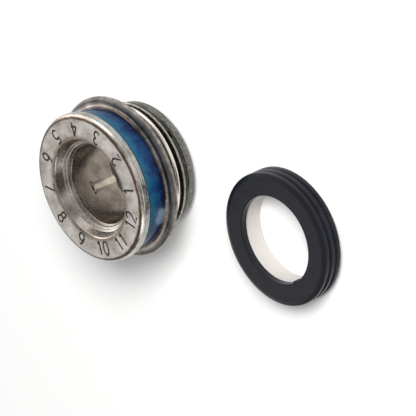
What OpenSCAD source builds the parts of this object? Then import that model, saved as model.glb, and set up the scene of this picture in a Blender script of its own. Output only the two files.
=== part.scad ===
// Mechanical seal for a pump shaft: a sprung head in a pressed steel case and its ceramic seat.
// The head stands on its carbon nose with the case's front face up. The seat lies beside it on its
// ceramic face. Heights are above the surface that both stand on, depths are below the head's face.

/* [Case] */
// Height from the carbon's running face to the case's front face, spring at rest
head_len = 16.4; // [15.8:0.1:19]
// Thickness of the drawn sheet
sheet_t = 0.6; // [0.5:0.05:0.7]
// Radius of the shaft tube's bore in front of the beads
bore_r = 7.4; // [7:0.05:7.6]
// Radial width of the conical ledge between the tube and the neck
ledge_w = 1.1; // [0.9:0.05:1.3]
// Depth of the ledge's outer edge
ledge_depth = 1.8; // [1.6:0.1:2.4]
// Drop of the ledge from its outer edge to the tube
ledge_drop = 0.85; // [0.6:0.05:1.2]
// Radial flare of the neck from the ledge to the front face
neck_flare = 0.6; // [0.4:0.05:1]
// Radius of the neck's rounded edges
neck_round = 0.7; // [0.65:0.05:0.8]
// Rounding of the ledge's outer edge and of the land's rear edge
edge_round = 0.25; // [0.2:0.01:0.3]
// Radius of the land that presses into the housing
land_r = 14; // [13.9:0.1:16]
// Radius of the corner between the front face and the land
corner_r = 1; // [0.8:0.05:1.2]
// Depth of the land's rear edge
land_depth = 1.95; // [1.85:0.05:2.4]
// Radial step from the land in to the outer wall
wall_step = 0.7; // [0.5:0.05:0.8]
// Length of the taper from the land to the outer wall
taper_len = 0.55; // [0.4:0.05:0.8]
// Rounding where the taper meets the outer wall
wall_round = 0.3; // [0.25:0.01:0.35]
// Depth of the flange's front side
flange_depth = 6.58; // [6.2:0.02:7.2]
// Reach of the flange beyond the outer wall
flange_w = 1.8; // [1.7:0.1:2.6]
// Radius of the fillet between the outer wall and the flange
flange_fillet = 0.75; // [0.72:0.01:0.85]
// Slit between the flange's two layers
hem_gap = 0.3; // [0.2:0.05:0.4]
// Radial length of the layer that is folded back
hem_w = 2.1; // [1.6:0.1:2.3]
// Half the width of the flat that stays on the flange's rim
rim_flat = 0.01; // [0.01:0.01:0.05]

/* [Drive beads] */
// Number of beads round the shaft tube
bead_count = 4; // [3:1:6]
// Direction of the first bead
bead_angle = 37; // [0:1:90]
// Radius of a bead's outer curve
bead_r = 0.95; // [0.85:0.05:1.05]
// Height of a bead's crest above the bore
bead_height = 0.42; // [0.3:0.02:0.44]
// Depth at which the beads start
bead_depth = 6.5; // [6:0.1:6.9]
// Length of a bead's sloping front end
bead_slope = 0.5; // [0.3:0.1:0.8]
// Share of its radius that a bead has at its front end
bead_tip = 0.4; // [0.3:0.05:0.5]
// Widening of the tube along the beads
tail_flare = 0.2; // [0.15:0.01:0.25]
// Length by which the tube widens in front of the beads
flare_lead = 0.1; // [0.05:0.01:0.15]
// Length by which a bead's groove starts behind the bead
groove_lag = 0.2; // [0.15:0.01:0.25]
// Widening of a groove against the inner side of a sheet bent round its bead
groove_spread = 0.1; // [0.08:0.01:0.12]

/* [Sealant] */
// Thickness of the painted sealant film
film_t = 0.15; // [0.1:0.05:0.2]
// Length over which the film thins out
film_edge = 0.25; // [0.2:0.01:0.3]

/* [Carbon ring] */
// Length of the carbon ring
carbon_len = 6.2; // [5.8:0.1:6.8]
// Clearance between the case's tube and the carbon ring
tube_gap = 0.15; // [0.12:0.01:0.2]
// Thickness of the rubber that grips the carbon's body
grip_t = 0.9; // [0.8:0.05:1.1]
// Height of the carbon's nose
nose_h = 1.1; // [1:0.05:1.2]
// Step from the nose out to the carbon's body
nose_step = 0.5; // [0.4:0.05:0.6]
// Length of the tube that stays inside the carbon ring at rest
key_engage = 1.65; // [1:0.05:1.9]
// Clearance between a key and its groove
key_gap = 0.12; // [0.1:0.01:0.16]
// Depth of a key's root in the carbon
key_root = 0.3; // [0.2:0.05:0.4]

/* [Drive ring] */
// Clearance between the case's wall and the drive ring
drive_gap = 0.77; // [0.6:0.01:0.85]
// Thickness of the drive ring's shell
drive_t = 0.6; // [0.5:0.05:0.65]
// Height of the drive ring's open end
drive_top = 3.1; // [2.9:0.05:3.3]
// Height at which the drive ring's wall turns in
drive_turn = 1.55; // [1.4:0.05:1.7]
// Rounding of that turn
drive_round = 1.2; // [1:0.05:1.25]
// Height of the drive ring's lip above the running face
lip_h = 0.18; // [0.12:0.02:0.3]
// Radial clearance between the lip and the carbon's nose
lip_gap = 0.22; // [0.15:0.01:0.4]
// Share of the shell's thickness by which its slanting lip reaches out
lip_lean = 0.64; // [0.6:0.01:0.7]
// Depth of the four flats pressed into the wall
flat_depth = 0.3; // [0.1:0.02:0.34]
// Direction of the first flat
flat_angle = -11; // [-45:1:45]

/* [Spring cup] */
// Thickness of the cup's plate
cup_t = 0.5; // [0.4:0.05:0.6]
// Height of the cup's skirt under the plate
skirt_h = 1; // [0.95:0.05:1.2]
// Reach of the plate beyond the drive ring
plate_step = 0.52; // [0.45:0.01:0.55]
// Reach of the plate beyond the skirt
plate_reach = 0.4; // [0.35:0.01:0.45]
// Thickness of the skirt
skirt_t = 0.58; // [0.5:0.02:0.6]
// Step in at the skirt's foot
foot_step = 0.2; // [0.15:0.01:0.25]
// Height of that step
foot_h = 0.12; // [0.1:0.01:0.15]
// Width of the slot in the skirt
slot_w = 1.3; // [1:0.1:2]
// Height of that slot
slot_h = 0.6; // [0.4:0.02:0.62]
// Height of the slot above the skirt's foot
slot_rise = 0.3; // [0.25:0.01:0.3]
// Direction of that slot
slot_angle = 52; // [0:1:90]

/* [Spring] */
// Diameter of the spring's wire
wire_d = 0.9; // [0.8:0.02:0.92]
// Clearance between the spring and the case's wall
spring_gap = 0.15; // [0.12:0.01:0.18]
// Number of turns, the two closed ones counted
spring_turns = 3.75; // [3.5:0.25:5]
// Direction in which the wire's tip lies on the cup
tip_angle = -30; // [-180:5:180]
// Slit between turns that lie closed
turn_gap = 0.04; // [0.02:0.01:0.06]

/* [Bellows] */
// Thickness of the rubber sleeve
rubber_t = 0.7; // [0.6:0.05:0.75]
// Thickness of the flange that is clamped to the case
tail_t = 1.15; // [0.9:0.05:1.3]
// Clearance between the rubber and the pieces that it seals
rubber_gap = 0.05; // [0.04:0.01:0.08]
// Clearance between the sleeve and the spring cup's skirt
head_gap = 0.22; // [0.15:0.01:0.3]
// Clearance between the sleeve's inward fold and the shaft tube
crease_gap = 1.1; // [0.8:0.1:1.3]
// Height of the fold's start above the carbon
crease_rise = 3.3; // [2.8:0.1:3.8]
// Height of the fold
crease_h = 1.7; // [1.4:0.1:2]
// Height of the fold's sloping sides
crease_slope = 1; // [0.8:0.1:1.2]
// Rounding of the fold's corners
crease_round = 0.8; // [0.75:0.05:0.9]
// Thickness of the clamp ring's plate and leg
clamp_t = 0.6; // [0.5:0.05:0.7]
// Length of the clamp ring's leg
clamp_leg = 1.5; // [1:0.1:2]
// Clearance between the leg and the spring
leg_gap = 0.25; // [0.15:0.05:0.35]

/* [Seat] */
// Distance between the two halves' axes
spacing = 35.6; // [32:0.1:50]
// Height of the seat
seat_h = 5.2; // [5.1:0.1:6]
// Radius over the rubber ribs
seat_r = 12.3; // [12:0.1:14]
// Step from the ribs in to the edge of the rubber's back face
shoulder_w = 0.85; // [0.6:0.05:1.1]
// Rounding of the back face's outer edge
shoulder_round = 0.8; // [0.6:0.05:0.85]
// Depth of the grooves between the ribs
groove_depth = 0.5; // [0.3:0.05:0.6]
// Number of ribs
rib_count = 3; // [2:1:3]
// Distance from rib to rib
rib_pitch = 1.4; // [1.3:0.05:1.45]
// Width of a rib's crest
crest_w = 0.7; // [0.6:0.05:0.8]
// Rounding of the ribs' crests
crest_round = 0.22; // [0.18:0.01:0.25]
// Rounding at the bottom of the grooves
groove_round = 0.15; // [0.1:0.01:0.2]
// Thickness of the rubber behind the ceramic
back_t = 1.3; // [1:0.1:1.5]
// Reach of the rubber inside the ceramic's bore
lip_reach = 0.25; // [0.15:0.05:0.3]
// Rounding of the rubber's bore at the back face
bore_round = 0.2; // [0.15:0.01:0.25]
// Height by which the ceramic stands out of the rubber
proud_h = 0.9; // [0.6:0.05:1.1]
// Radial width of the ceramic ring
ceramic_w = 2.6; // [2.3:0.05:2.8]
// Thickness of the rubber round the ceramic, ribs included
rib_wall = 1.3; // [1.1:0.05:1.6]
// Chamfer on the ceramic's edges
ceramic_chamfer = 0.2; // [0.1:0.05:0.3]

/* [Hidden] */
$fn = 96;

// Clearance between pieces that sit tight in or on one another
seated = 0.02;
// Number of straight steps in a rounded corner of a section
corner_steps = 5;
// Least rounding on the inner side of a bent sheet
least_round = 0.05;
// Extra length that takes a cut clear of the solid
cut = 1;

// Case
wall_r = land_r - wall_step;
cavity_r = wall_r - sheet_t;
flange_r = wall_r + flange_w;
flange_t = 2 * sheet_t + hem_gap;
fold_r = flange_t / 2 - rim_flat;
hem_r = flange_r - hem_w;
ledge_r = bore_r + ledge_w;
neck_r = ledge_r + neck_flare;
neck_depth = ledge_depth + ledge_drop;
tail_bore_r = bore_r + tail_flare;
tail_r = tail_bore_r + sheet_t;
tail_depth = bead_depth - flare_lead;
tube_end = carbon_len - key_engage;

// Drive beads and the carbon's keys
bead_x = tail_bore_r - bead_height + bead_r;
groove_r = bead_r - sheet_t + groove_spread;
key_r = groove_r - key_gap;
bead_top = head_len - bead_depth;

// Drive ring and carbon ring
drive_r = cavity_r - drive_gap;
drive_bore_r = drive_r - drive_t;
carbon_bore_r = tail_r + tube_gap;
carbon_r = drive_bore_r - 2 * rubber_gap - grip_t;
nose_r = carbon_r - nose_step;

// Spring cup
skirt_top = drive_top + skirt_h;
cup_top = skirt_top + cup_t;
plate_r = drive_r + plate_step;
skirt_r = plate_r - plate_reach;
skirt_bore_r = skirt_r - skirt_t;

// Bellows and its clamp
inside_top = head_len - sheet_t;
clamp_top = inside_top - tail_t;
clamp_bottom = clamp_top - clamp_t;

// Spring
wire_r = wire_d / 2;
spring_r = cavity_r - spring_gap - wire_r;
clamp_r = cavity_r - spring_gap;
leg_r = spring_r - wire_r - leg_gap;
sleeve_out_r = leg_r - clamp_t - rubber_gap;
spring_foot = cup_top + wire_r;
spring_rise = clamp_bottom - cup_top - wire_d;
closed_step = wire_d + turn_gap;
open_rise = spring_rise - closed_step * spring_turns;
wire_sides = 10;
rings_per_turn = 30;

// Bellows
head_r = skirt_bore_r - head_gap;
crease_r = tail_r + crease_gap + rubber_t;
sleeve_foot = carbon_len + rubber_t;
crease_foot = carbon_len + crease_rise;

// Places of the two halves
head_x = -(spacing + seat_r - flange_r) / 2;
seat_x = head_x + spacing;

// Seat
rubber_foot = proud_h;
ceramic_r = seat_r - rib_wall;
ceramic_bore_r = ceramic_r - ceramic_w;
rubber_bore_r = ceramic_bore_r - lip_reach;
pocket_r = ceramic_r + seated;

// Section helpers. A path is a list of [radius, height, rounding] corners.
function unit(v) = v / norm(v);
function turn(a, b, c) = sign((b.x - a.x) * (c.y - b.y) - (b.y - a.y) * (c.x - b.x));
function flat(p) = [p.x, p.y];

// Points of the arc that rounds corner b between a and c
function rounded(a, b, c) =
    let (u = unit(flat(a) - flat(b)))
    let (v = unit(flat(c) - flat(b)))
    let (half = acos(u * v) / 2)
    let (middle = flat(b) + unit(u + v) * b[2] / sin(half))
    let (start = flat(b) + u * b[2] / tan(half) - middle)
    let (sweep = turn(a, b, c) * (180 - 2 * half))
    let (first = atan2(start.y, start.x))
    [for (i = [0 : corner_steps])
        middle + b[2] * [cos(first + sweep * i / corner_steps), sin(first + sweep * i / corner_steps)]];

// Open path with its inner corners rounded
function smooth(path) =
    let (last = len(path) - 1)
    [for (i = [0 : last])
        each (i == 0 || i == last || path[i][2] == 0)
            ? [flat(path[i])]
            : rounded(path[i - 1], path[i], path[i + 1])];

// The path moved sideways by t to its left, rounded about the same centres
function left_normal(a, b) = let (u = unit(flat(b) - flat(a))) [-u.y, u.x];
function moved(path, t) =
    let (last = len(path) - 1)
    [for (i = [0 : last])
        let (n1 = left_normal(path[max(i - 1, 0)], path[max(i, 1)]))
        let (n2 = left_normal(path[min(i, last - 1)], path[min(i + 1, last)]))
        let (p = flat(path[i]) + (n1 + n2) * t / (1 + n1 * n2))
        let (bend = (i == 0 || i == last) ? 0 : turn(path[i - 1], path[i], path[i + 1]))
        [p.x, p.y, path[i][2] == 0 ? 0 : max(path[i][2] - bend * t, least_round)]];

// Section of a sheet of thickness t to the left of a path
function reversed(list) = [for (i = [len(list) - 1 : -1 : 0]) list[i]];
function sheet(path, t) = concat(smooth(path), reversed(smooth(moved(path, t))));

// A depth below the front face, as a height
function up(depth) = head_len - depth;

module at_head() {
    translate([head_x, 0, 0])
        children();
}

module at_seat() {
    translate([seat_x, 0, 0])
        children();
}

module round_beads() {
    for (i = [0 : bead_count - 1])
        rotate([0, 0, bead_angle + i * 360 / bead_count])
            children();
}

// Post with a sloping top, which presses a bead out or cuts its groove
module bead_post(r, foot, top) {
    translate([bead_x, 0, 0])
        rotate_extrude()
            polygon([[0, foot], [r, foot], [r, top - bead_slope], [r * bead_tip, top], [0, top]]);
}

// Outer side of the case's sheet, from the tube's end over the face to the folded lip
case_path = [
    [tail_bore_r, tube_end, 0],
    [tail_bore_r, up(tail_depth), 0],
    [bore_r, up(tail_depth) + tail_flare, 0],
    [bore_r, up(neck_depth), neck_round],
    [ledge_r, up(ledge_depth), edge_round],
    [neck_r, head_len, neck_round],
    [land_r, head_len, corner_r],
    [land_r, up(land_depth), edge_round],
    [wall_r, up(land_depth + taper_len), wall_round],
    [wall_r, up(flange_depth), flange_fillet],
    [flange_r, up(flange_depth), fold_r],
    [flange_r, up(flange_depth + flange_t), fold_r],
    [hem_r, up(flange_depth + flange_t), 0]
];

// One drawn sheet: face, neck, shaft tube with its beads, outer wall and folded flange
module case() {
    color("silver")
        at_head()
            difference() {
                union() {
                    rotate_extrude()
                        polygon(sheet(case_path, -sheet_t));
                    intersection() {
                        round_beads()
                            bead_post(bead_r, tube_end, bead_top);
                        cylinder(r = tail_bore_r + sheet_t / 2, h = head_len);
                    }
                }
                round_beads()
                    bead_post(groove_r, tube_end - cut, bead_top - groove_lag);
            }
}

// Film painted round the outer wall, thinning out at both edges
module sealant_band() {
    film_foot = up(flange_depth - flange_fillet);
    film_top = up(land_depth + taper_len + film_t);
    inner = wall_r + seated;
    color("steelblue")
        at_head()
            rotate_extrude()
                polygon([
                    [inner, film_foot],
                    [wall_r + film_t / 2, film_foot],
                    [wall_r + film_t, film_foot + film_edge],
                    [wall_r + film_t, film_top - film_edge],
                    [wall_r + film_t / 2, film_top],
                    [inner, film_top]
                ]);
}

// Angle ring that holds the bellows' tail and carries the spring's front end
module bellows_clamp() {
    color("lightgray")
        at_head()
            rotate_extrude()
                polygon([
                    [leg_r - clamp_t, clamp_bottom - clamp_leg],
                    [leg_r, clamp_bottom - clamp_leg],
                    [leg_r, clamp_bottom],
                    [clamp_r, clamp_bottom],
                    [clamp_r, clamp_top],
                    [leg_r - clamp_t, clamp_top]
                ]);
}

// Outer side of the sleeve, from the head up through the inward fold to the tail
sleeve_path = [
    [head_r, sleeve_foot, 0],
    [head_r, crease_foot - crease_slope, crease_round],
    [crease_r, crease_foot, crease_round],
    [crease_r, crease_foot + crease_h, crease_round],
    [sleeve_out_r, crease_foot + crease_h + crease_slope, crease_round],
    [sleeve_out_r, clamp_top, 0]
];

// Moulded sleeve: a head on the carbon, one inward fold and a clamped tail
module bellows() {
    head_in = carbon_r + rubber_gap;
    head_out = drive_bore_r - rubber_gap;
    head_foot = [
        [head_in, nose_h + rubber_gap],
        [head_in + 2 * rubber_gap, nose_h + rubber_gap],
        [head_out, drive_turn + drive_t + rubber_gap],
        [head_out, drive_top - rubber_gap],
        [head_r, drive_top - rubber_gap]
    ];
    tail = [
        [clamp_r, clamp_top],
        [clamp_r, inside_top],
        [sleeve_out_r - rubber_t, inside_top]
    ];
    head_lip = [
        [nose_r, sleeve_foot],
        [nose_r, carbon_len + rubber_gap],
        [head_in, carbon_len + rubber_gap]
    ];
    inner_side = reversed(smooth(moved(sleeve_path, rubber_t)));
    color("dimgray")
        at_head()
            rotate_extrude()
                polygon(concat(head_foot, smooth(sleeve_path), tail, inner_side, head_lip));
}

// Height of the wire's middle above its tip after a number of turns
function eased(u) = let (c = min(max(u, 0), 1)) c - sin(360 * c) / (2 * PI);
function climb(n) = closed_step * n + open_rise * eased((n - 1) / (spring_turns - 2));

// One round wire with a closed turn at each end
module coil_spring() {
    rings = round(spring_turns * rings_per_turn);
    points = [for (i = [0 : rings], j = [0 : wire_sides - 1])
        let (n = i * spring_turns / rings)
        let (a = tip_angle - 360 * n)
        let (b = 360 * (j + 0.5) / wire_sides)
        let (r = spring_r + wire_r * cos(b))
        [r * cos(a), r * sin(a), spring_foot + climb(n) + wire_r * sin(b)]];
    sides = [for (i = [0 : rings - 1], j = [0 : wire_sides - 1])
        let (k = (j + 1) % wire_sides)
        [i * wire_sides + j, i * wire_sides + k, (i + 1) * wire_sides + k, (i + 1) * wire_sides + j]];
    first_end = [for (j = [wire_sides - 1 : -1 : 0]) j];
    last_end = [for (j = [0 : wire_sides - 1]) rings * wire_sides + j];
    color("gainsboro")
        at_head()
            polyhedron(points, concat(sides, [first_end, last_end]), convexity = 6);
}

// Plate and skirt that carry the spring's rear end, with a slot in the skirt
module spring_cup() {
    color("darkgray")
        at_head()
            difference() {
                rotate_extrude()
                    polygon([
                        [skirt_bore_r, drive_top],
                        [skirt_r - foot_step, drive_top],
                        [skirt_r - foot_step, drive_top + foot_h],
                        [skirt_r, drive_top + foot_h],
                        [skirt_r, skirt_top],
                        [plate_r, skirt_top],
                        [plate_r, cup_top],
                        [skirt_bore_r, cup_top]
                    ]);
                rotate([0, 0, slot_angle])
                    translate([skirt_bore_r - cut, -slot_w / 2, drive_top + slot_rise])
                        cube([3 * cut, slot_w, slot_h]);
            }
}

// Outer side of the drive ring's shell, from the lip out to the open end
lip_r = nose_r + lip_gap + drive_t * lip_lean;
drive_path = [
    [lip_r, lip_h, 0],
    [drive_r, drive_turn, drive_round],
    [drive_r, drive_top, 0]
];

// Nose shell that grips the bellows' head on the carbon, with shallow flats round it
module drive_ring() {
    color("gray")
        at_head()
            difference() {
                rotate_extrude()
                    polygon(sheet(drive_path, drive_t));
                for (i = [0 : 3])
                    rotate([0, 0, flat_angle + 90 * i])
                        translate([drive_r - flat_depth, -drive_r / 2, -cut])
                            cube([2 * cut, drive_r, drive_top + 2 * cut]);
            }
}

// Key with a round tip that rides in a groove of the tube
module carbon_key() {
    tip = [for (a = [90 : 30 : 270]) [bead_x + key_r * cos(a), key_r * sin(a)]];
    translate([0, 0, tube_end - key_engage])
        linear_extrude(height = carbon_len - tube_end + key_engage)
            polygon(concat(
                [[carbon_bore_r + key_root, -key_r], [carbon_bore_r + key_root, key_r]],
                tip
            ));
}

// Running ring: nose, body and one key for each groove
module carbon_ring() {
    color([0.2, 0.2, 0.22])
        at_head() {
            rotate_extrude()
                polygon([
                    [carbon_bore_r, 0],
                    [nose_r, 0],
                    [nose_r, nose_h],
                    [carbon_r, nose_h],
                    [carbon_r, carbon_len],
                    [carbon_bore_r, carbon_len]
                ]);
            round_beads()
                carbon_key();
        }
}

// Outer side of one rubber rib and of the groove under it
function rib(i) =
    let (z = seat_h - rib_pitch * (i + 0.5))
    [
        [seat_r, z + crest_w / 2, crest_round],
        [seat_r, z - crest_w / 2, crest_round],
        if (i < rib_count - 1) [seat_r - groove_depth, z - rib_pitch / 2, groove_round]
    ];

// Rubber cup with ribs round it that seal in the housing
module seat_cup() {
    outside = concat(
        [
            [rubber_bore_r, seat_h - back_t, 0],
            [rubber_bore_r, seat_h, bore_round],
            [seat_r - shoulder_w, seat_h, shoulder_round]
        ],
        [for (i = [0 : rib_count - 1]) each rib(i)],
        [[seat_r - groove_depth, rubber_foot, 0], [pocket_r, rubber_foot, 0]]
    );
    color("dimgray")
        at_seat()
            rotate_extrude()
                polygon(concat(smooth(outside), [[pocket_r, seat_h - back_t]]));
}

// Hard ring whose lower face is the mating face
module ceramic_ring() {
    top = seat_h - back_t;
    c = ceramic_chamfer;
    color("whitesmoke")
        at_seat()
            rotate_extrude()
                polygon([
                    [ceramic_bore_r, c],
                    [ceramic_bore_r + c, 0],
                    [ceramic_r - c, 0],
                    [ceramic_r, c],
                    [ceramic_r, top - c],
                    [ceramic_r - c, top],
                    [ceramic_bore_r + c, top],
                    [ceramic_bore_r, top - c]
                ]);
}

case();
sealant_band();
bellows_clamp();
bellows();
coil_spring();
spring_cup();
drive_ring();
carbon_ring();
seat_cup();
ceramic_ring();
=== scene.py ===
"""Looks of a mechanical seal: a pressed steel head with a blue sealant band, coil spring and nose
ring, and beside it the seat, a white ceramic ring in a ribbed rubber cup. Shapes are in millimetres
about the two shaft axes and become metres when a mesh is made."""
import math

import bmesh
import bpy
from mathutils import Matrix, Vector, noise


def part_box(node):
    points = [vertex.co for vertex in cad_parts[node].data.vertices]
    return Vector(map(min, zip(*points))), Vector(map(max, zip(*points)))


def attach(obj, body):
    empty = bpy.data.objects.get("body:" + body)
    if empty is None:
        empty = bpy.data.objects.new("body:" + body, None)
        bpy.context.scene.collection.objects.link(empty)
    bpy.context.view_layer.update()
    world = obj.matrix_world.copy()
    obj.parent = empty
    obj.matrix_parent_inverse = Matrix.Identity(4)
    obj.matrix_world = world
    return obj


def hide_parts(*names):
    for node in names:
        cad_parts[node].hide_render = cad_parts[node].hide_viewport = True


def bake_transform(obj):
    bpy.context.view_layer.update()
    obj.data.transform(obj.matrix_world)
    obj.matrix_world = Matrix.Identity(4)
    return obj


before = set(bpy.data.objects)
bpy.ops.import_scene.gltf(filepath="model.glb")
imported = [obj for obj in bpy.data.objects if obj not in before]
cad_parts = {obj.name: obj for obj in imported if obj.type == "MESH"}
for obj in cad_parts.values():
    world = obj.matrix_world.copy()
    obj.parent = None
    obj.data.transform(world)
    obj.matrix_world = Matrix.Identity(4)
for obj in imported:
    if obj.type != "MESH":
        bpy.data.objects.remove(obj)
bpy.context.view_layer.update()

MM = 0.001


def extent(node):
    """Lowest and highest corner of a node, in millimetres."""
    low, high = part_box(node)
    return low / MM, high / MM


# Driving sizes, read from the frame
case_low, case_high = extent("case")
seat_low, seat_high = extent("seat_cup")
carbon_low, carbon_high = extent("carbon_ring")
cup_low, cup_high = extent("spring_cup")
drive_low, drive_high = extent("drive_ring")
clamp_low, clamp_high = extent("bellows_clamp")

HEAD_X = (case_low.x + case_high.x) / 2
SEAT_X = (seat_low.x + seat_high.x) / 2
HEAD = Vector((HEAD_X, 0, 0))
SEAT = Vector((SEAT_X, 0, 0))
FACE_Z = case_high.z
TUBE_END = case_low.z
FLANGE_R = (case_high.x - case_low.x) / 2
SEAT_R = (seat_high.x - seat_low.x) / 2
SEAT_H = seat_high.z
RUBBER_FOOT = seat_low.z
CARBON_TOP = carbon_high.z
CARBON_R = (carbon_high.x - carbon_low.x) / 2
DRIVE_TOP = drive_high.z
LIP_H = drive_low.z
CUP_TOP = cup_high.z
PLATE_R = (cup_high.x - cup_low.x) / 2
CLAMP_BOTTOM = extent("coil_spring")[1].z
CLAMP_TOP = clamp_high.z
CLAMP_FOOT = clamp_low.z
CLAMP_R = (clamp_high.x - clamp_low.x) / 2

# Sizes of the sheet and its details, as the solids have them
SHEET = 0.6
WALL_R = FLANGE_R - 1.8
LAND_R = WALL_R + 0.7
DRIVE_R = WALL_R - SHEET - 0.77
BORE_R = 7.4
TAIL_BORE_R = 7.6
TAIL_R = TAIL_BORE_R + SHEET
BEAD_COUNT = 4
BEAD_ANGLE = math.radians(37)
BEAD_RISE = 0.44
BEAD_FOOT = 1.45
BEAD_X = TAIL_R - 0.07
GROOVE_R = 0.45
BEAD_TOP = FACE_Z - 6.5
BEAD_START = 0.22
TUBE_START = FACE_Z - 6.4
LAND_END = FACE_Z - 1.95
WALL_TOP = FACE_Z - 2.5
FLANGE_TOP = FACE_Z - 6.58
FLANGE_BOTTOM = FACE_Z - 8.08
HEM_W = 2.1
NOSE_R = CARBON_R - 0.5


# Section helpers. A path is a list of (radius, height, rounding) corners.
def unit(v):
    return v / v.length


def turn_sign(a, b, c):
    return math.copysign(1, (b[0] - a[0]) * (c[1] - b[1]) - (b[1] - a[1]) * (c[0] - b[0]))


def rounded(a, b, c, step_deg=7.5):
    """Points of the arc that rounds corner b between a and c."""
    a2, b2, c2 = Vector(a[:2]), Vector(b[:2]), Vector(c[:2])
    u, v = unit(a2 - b2), unit(c2 - b2)
    half = u.angle(v) / 2
    middle = b2 + unit(u + v) * b[2] / math.sin(half)
    start = b2 + u * b[2] / math.tan(half) - middle
    sweep = turn_sign(a, b, c) * (math.pi - 2 * half)
    steps = max(3, math.ceil(abs(math.degrees(sweep)) / step_deg))
    return [middle + Matrix.Rotation(sweep * i / steps, 2) @ start for i in range(steps + 1)]


def smooth(path):
    """The open path with its inner corners rounded."""
    points = []
    for i, corner in enumerate(path):
        if i in (0, len(path) - 1) or corner[2] == 0:
            points.append(Vector(corner[:2]))
        else:
            points += rounded(path[i - 1], corner, path[i + 1])
    return points


def moved(path, t):
    """The path moved sideways by t to its left, rounded about the same centres."""
    def left(a, b):
        u = unit(Vector(b[:2]) - Vector(a[:2]))
        return Vector((-u.y, u.x))
    result = []
    last = len(path) - 1
    for i, corner in enumerate(path):
        n1 = left(path[max(i - 1, 0)], path[max(i, 1)])
        n2 = left(path[min(i, last - 1)], path[min(i + 1, last)])
        p = Vector(corner[:2]) + (n1 + n2) * t / (1 + n1.dot(n2))
        bend = 0 if i in (0, last) else turn_sign(path[i - 1], corner, path[i + 1])
        result.append((p.x, p.y, max(corner[2] - bend * t, 0.05) if corner[2] else 0))
    return result


def supported(points, longest=1.2, near=0.06):
    """Closed section with extra points beside each corner, so that flat stretches shade flat."""
    result = []
    for p, q in zip(points, points[1:] + points[:1]):
        length = (q - p).length
        if length < 1e-6:
            continue
        result.append(p)
        if length > 4 * near:
            inner = max(1, math.ceil(length / longest))
            stops = [near] + [length * k / inner for k in range(1, inner)] + [length - near]
            result += [p + (q - p) * s / length for s in stops]
    return result


def even_angles(count):
    return [2 * math.pi * i / count for i in range(count)]


def dense_angles(centres, half_width, fine_deg, coarse_deg):
    """Angles round a ring, closer together near the given centres."""
    angles = []
    a = 0.0
    while a < 360:
        angles.append(math.radians(a))
        gap = min(abs((math.degrees(c) - a + 180) % 360 - 180) for c in centres)
        a += fine_deg if gap < half_width else coarse_deg
    return angles


SHARP_DEG = 35


def turned(name, centre, points, angles, shape=None, sharp_deg=SHARP_DEG):
    """Ring swept from a closed section. shape(r, z, angle) may move each point."""
    area = sum(p.x * q.y - q.x * p.y for p, q in zip(points, points[1:] + points[:1]))
    if area < 0:
        points = points[::-1]
    rows, columns = len(angles), len(points)
    verts = []
    for a in angles:
        for p in points:
            r, z = shape(p.x, p.y, a) if shape else (p.x, p.y)
            verts.append((centre + Vector((r * math.cos(a), r * math.sin(a), z))) * MM)
    faces = []
    for i in range(rows):
        n = (i + 1) % rows
        for k in range(columns):
            m = (k + 1) % columns
            faces.append((i * columns + k, n * columns + k, n * columns + m, i * columns + m))
    mesh = bpy.data.meshes.new(name)
    mesh.from_pydata(verts, [], faces)
    mean_r = sum(p.x for p in points) / columns
    along = [0.0]
    for p, q in zip(points, points[1:] + points[:1]):
        along.append(along[-1] + (q - p).length)
    uv = mesh.uv_layers.new(name="turned_mm").data
    spans = [angles[i + 1] if i + 1 < rows else angles[0] + 2 * math.pi for i in range(rows)]
    loop = 0
    for i in range(rows):
        for k in range(columns):
            u0, u1 = angles[i] * mean_r, spans[i] * mean_r
            for u, v in ((u0, along[k]), (u1, along[k]), (u1, along[k + 1]), (u0, along[k + 1])):
                uv[loop].uv = (u, v)
                loop += 1
    mesh.shade_smooth()
    mesh.set_sharp_from_angle(angle=math.radians(sharp_deg))
    piece = bpy.data.objects.new(name, mesh)
    bpy.context.scene.collection.objects.link(piece)
    return piece


def soft_min(a, b, k):
    """Smaller of two values, blended over k where they are close."""
    h = max(k - abs(a - b), 0) / k
    return min(a, b) - h * h * k / 4


# Colours and node helpers
def linear(code):
    """Linear RGBA of an sRGB hex colour."""
    parts = [int(code[i:i + 2], 16) / 255 for i in (1, 3, 5)]
    return tuple(c / 12.92 if c <= 0.04045 else ((c + 0.055) / 1.055) ** 2.4 for c in parts) + (1,)


def add(material, kind, settings=None, links=None):
    """Adds a node to a material or world, with settings, socket values and links to its inputs."""
    node = material.node_tree.nodes.new(kind)
    for key, value in (settings or {}).items():
        if isinstance(key, int) or key in node.inputs.keys():
            node.inputs[key].default_value = value
        else:
            setattr(node, key, value)
    for key, socket in (links or {}).items():
        material.node_tree.links.new(socket, node.inputs[key])
    return node


def new_material(name):
    material = bpy.data.materials.new(name)
    material.use_nodes = True
    material.node_tree.nodes.clear()
    return material


def finish_material(material, shader):
    output = add(material, "ShaderNodeOutputMaterial")
    material.node_tree.links.new(shader.outputs[0], output.inputs["Surface"])
    return material


def ramp(material, source, stops):
    """Colour ramp with (place, colour) stops."""
    node = add(material, "ShaderNodeValToRGB", links={"Fac": source})
    band = node.color_ramp
    while len(band.elements) < len(stops):
        band.elements.new(0.5)
    for element, (place, colour) in zip(band.elements, stops):
        element.position = place
        element.color = colour
    return node


def tinted(material, colour, by, share=1.0):
    """A colour multiplied by another one."""
    return add(material, "ShaderNodeMixRGB", {"blend_type": "MULTIPLY", "Fac": share},
               {"Color1": colour.outputs["Color"], "Color2": by.outputs["Color"]})


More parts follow.
